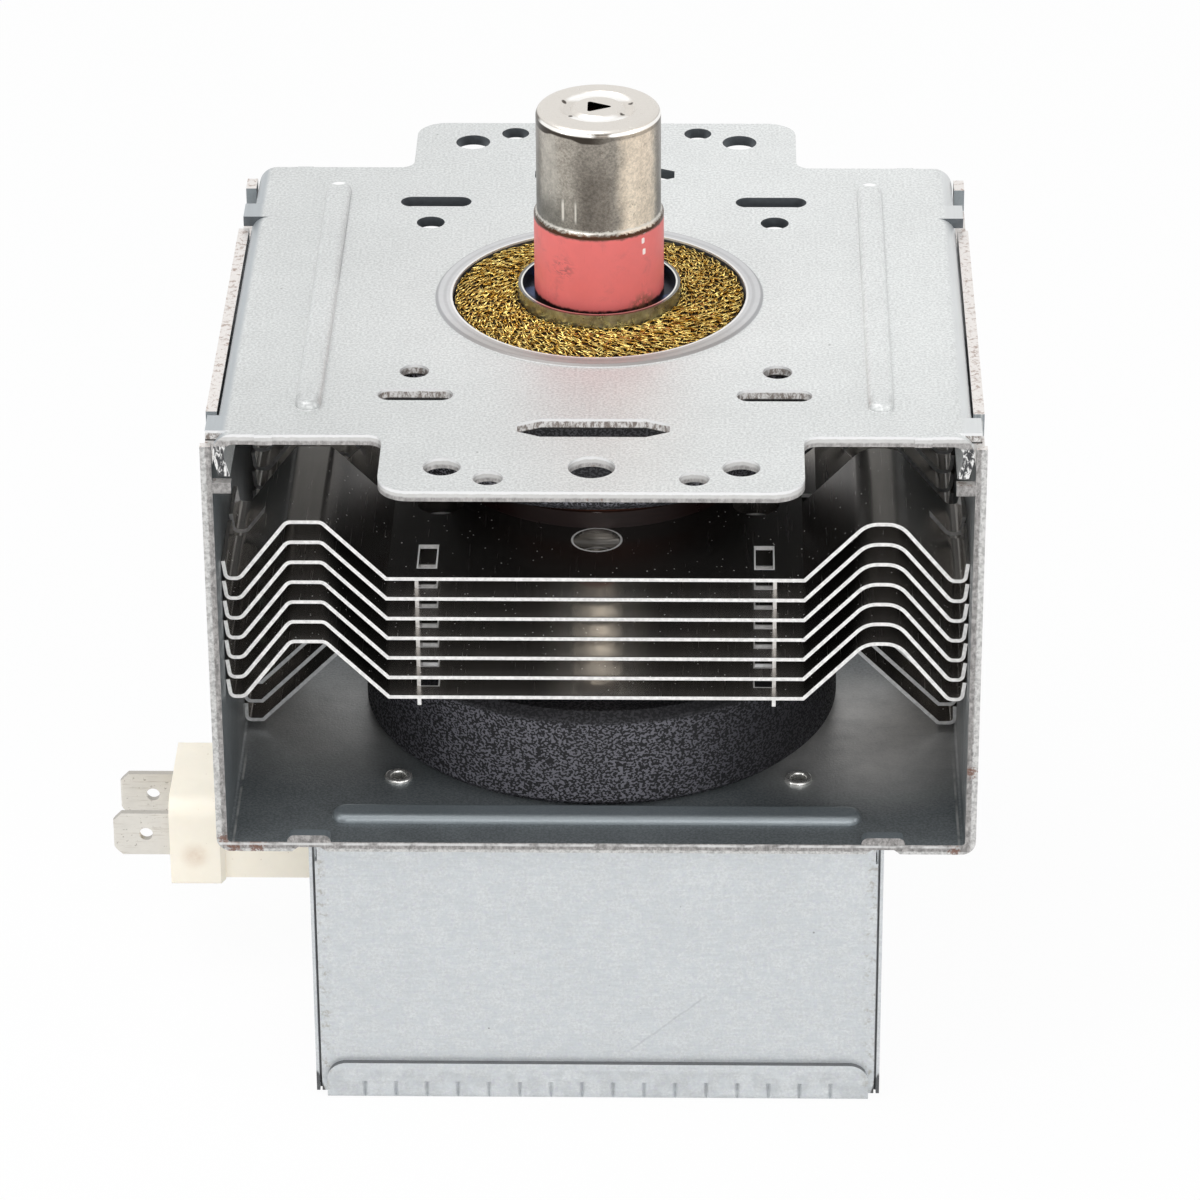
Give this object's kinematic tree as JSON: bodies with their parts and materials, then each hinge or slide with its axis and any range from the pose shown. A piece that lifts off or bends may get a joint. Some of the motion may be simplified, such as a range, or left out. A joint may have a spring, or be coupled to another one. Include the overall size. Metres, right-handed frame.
{
  "type": "magnetron",
  "caption": "Microwave-oven magnetron: tube with antenna cap in a steel yoke frame with ring magnets, folded cooling fins, flanged mounting plate and filter box with a side connector.",
  "frame": {"origin": "centre of the gasket hole on the top face of the mounting plate, which is also the centre of the mounting bolt holes", "axes": "+Z along the tube out of the antenna cap, +X to the right with the supply connector on -X, +Y to the rear"},
  "size_m": [0.0986, 0.095, 0.1069],
  "materials": {
    "brass_mesh": "knitted brass wire",
    "cap_steel": "nickel-plated steel, scuffed, heat-tinted rim",
    "cathode_metal": "grey refractory metal",
    "choke_ferrite": "dull dark ferrite",
    "copper": "bare oxygen-free copper",
    "cream_plastic": "moulded cream thermoset with small brown specks",
    "cup_steel": "plated steel, dark inside",
    "eyelet_steel": "bright plated steel",
    "ferrite": "dull dark ferrite, chipped edges, violet grey bloom",
    "fin_aluminium": "bright rolled aluminium with bright sheared edges",
    "pink_ceramic": "unglazed pink alumina with grey smudges",
    "plated_box_sheet": "smooth zinc-plated sheet with fine scratches",
    "plated_frame_sheet": "zinc-plated sheet, duller and darker inside, raw cut edges with rust",
    "plated_sheet": "matt zinc-plated sheet with a fine spangle",
    "pole_iron": "plain turned iron",
    "tinned_blade": "dull tin plate with dirt spots"
  },
  "bodies": {
    "root": {"anode_shell": "copper", "antenna_cap": "cap_steel", "antenna_ceramic": "pink_ceramic", "antenna_lead": "copper", "box_lid": "plated_box_sheet", "capacitor_earth_plate": "plated_box_sheet", "centre_lead": "cathode_metal", "connector_body": "cream_plastic", "cooling_fin_1": "fin_aluminium", "cooling_fin_2": "fin_aluminium", "cooling_fin_3": "fin_aluminium", "cooling_fin_4": "fin_aluminium", "cooling_fin_5": "fin_aluminium", "cooling_fin_6": "fin_aluminium", "cooling_fin_7": "fin_aluminium", "exhaust_tube": "copper", "filament": "cathode_metal", "filter_box": "plated_box_sheet", "frame_eyelets": "eyelet_steel", "front_blade": "tinned_blade", "front_choke": "copper", "front_choke_core": "choke_ferrite", "lower_end_hat": "cathode_metal", "lower_inner_strap": "copper", "lower_magnet": "ferrite", "lower_outer_strap": "copper", "lower_pole_piece": "pole_iron", "lower_seal_cup": "cup_steel", "mounting_plate": "plated_sheet", "rear_blade": "tinned_blade", "rear_choke": "copper", "rear_choke_core": "choke_ferrite", "rf_gasket": "brass_mesh", "side_lead": "cathode_metal", "stem_ceramic": "pink_ceramic", "upper_end_hat": "cathode_metal", "upper_inner_strap": "copper", "upper_magnet": "ferrite", "upper_outer_strap": "copper", "upper_pole_piece": "pole_iron", "upper_seal_cup": "cup_steel", "vane_01": "copper", "vane_02": "copper", "vane_03": "copper", "vane_04": "copper", "vane_05": "copper", "vane_06": "copper", "vane_07": "copper", "vane_08": "copper", "vane_09": "copper", "vane_10": "copper", "yoke_frame": "plated_frame_sheet"}
  },
  "joints": []
}
